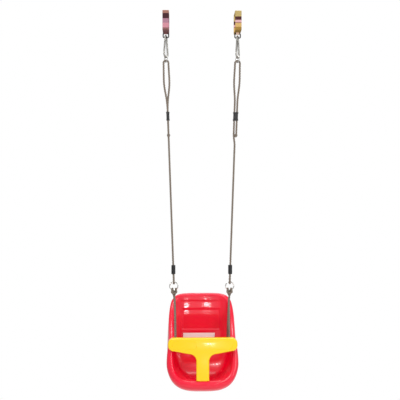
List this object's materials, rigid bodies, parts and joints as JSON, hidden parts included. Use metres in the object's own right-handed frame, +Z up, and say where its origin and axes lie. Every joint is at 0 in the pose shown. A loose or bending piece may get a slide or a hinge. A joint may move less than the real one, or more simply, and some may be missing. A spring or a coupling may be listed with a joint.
{
  "type": "toddler bucket swing",
  "caption": "Toddler bucket swing: a high-backed seat shell closed by a sliding T-bar, hung on looped ropes from snap hooks and webbing beam straps.",
  "frame": {"origin": "on top of the carrying beam, half-way between the two webbing straps", "axes": "+Z up, +X to the right seen from the front of the seat, -Y to the front of the seat"},
  "size_m": [0.3846, 0.3175, 1.83],
  "materials": {
    "strap_left": "matte",
    "strap_right": "matte",
    "strap_eye": "satin",
    "hook_body": "satin",
    "hook_gate": "satin",
    "gate_pin": "satin",
    "top_ring": "polished",
    "lower_ring": "polished",
    "main_rope": "matte",
    "seat_rope": "matte",
    "rope_adjuster": "satin",
    "rope_sleeve": "satin",
    "seat_shell": "gloss",
    "t_bar": "gloss",
    "seat_label": "satin"
  },
  "bodies": {
    "beam_straps": {"strap_left": "strap_left", "strap_right": "strap_right"},
    "hangers": {"strap_eye_left": "strap_eye", "strap_eye_right": "strap_eye", "hook_body_left": "hook_body", "hook_body_right": "hook_body", "gate_pin_left": "gate_pin", "gate_pin_right": "gate_pin"},
    "gate_left": {"hook_gate_left": "hook_gate"},
    "gate_right": {"hook_gate_right": "hook_gate"},
    "ropes": {"top_ring_left": "top_ring", "top_ring_right": "top_ring", "main_rope_left": "main_rope", "main_rope_right": "main_rope", "rope_sleeve_left": "rope_sleeve", "rope_sleeve_right": "rope_sleeve"},
    "adjuster_left": {"rope_adjuster_left": "rope_adjuster"},
    "adjuster_right": {"rope_adjuster_right": "rope_adjuster"},
    "seat": {"lower_ring_left": "lower_ring", "lower_ring_right": "lower_ring", "seat_rope_left": "seat_rope", "seat_rope_right": "seat_rope", "seat_shell": "seat_shell", "seat_label": "seat_label"},
    "tee": {"t_bar": "t_bar"}
  },
  "joints": [
    {"name": "swing", "type": "hinge", "parent": "beam_straps", "child": "hangers", "pos_m": [0, 0, -0.0985], "axis": [1, 0, 0], "range_deg": [-45, 45]},
    {"name": "gate_open_left", "type": "hinge", "parent": "hangers", "child": "gate_left", "pos_m": [-0.18283, -0.01679, -0.1816], "axis": [-0.9205, 0.3907, 0], "range_deg": [0, 14], "stiffness_Nm_per_rad": 0.05, "springref_deg": -28.65},
    {"name": "gate_open_right", "type": "hinge", "parent": "hangers", "child": "gate_right", "pos_m": [0.16857, -0.01679, -0.1816], "axis": [-0.9205, 0.3907, 0], "range_deg": [0, 14], "stiffness_Nm_per_rad": 0.05, "springref_deg": -28.65},
    {"name": "rope_pivot", "type": "hinge", "parent": "hangers", "child": "ropes", "pos_m": [0, 0, -0.2175], "axis": [1, 0, 0], "range_deg": [-12, 12]},
    {"name": "adjuster_slide_left", "type": "slide", "parent": "ropes", "child": "adjuster_left", "axis": [0.0357, 0, -0.9994], "range_m": [-0.03, 0.03]},
    {"name": "adjuster_slide_right", "type": "slide", "parent": "ropes", "child": "adjuster_right", "axis": [-0.0357, 0, -0.9994], "range_m": [-0.03, 0.03]},
    {"name": "seat_tilt", "type": "hinge", "parent": "ropes", "child": "seat", "pos_m": [0, 0, -1.316], "axis": [1, 0, 0], "range_deg": [-25, 25]},
    {"name": "t_bar_slide", "type": "slide", "parent": "seat", "child": "tee", "axis": [0, 0.4104, 0.9119], "range_m": [0, 0.15]}
  ]
}
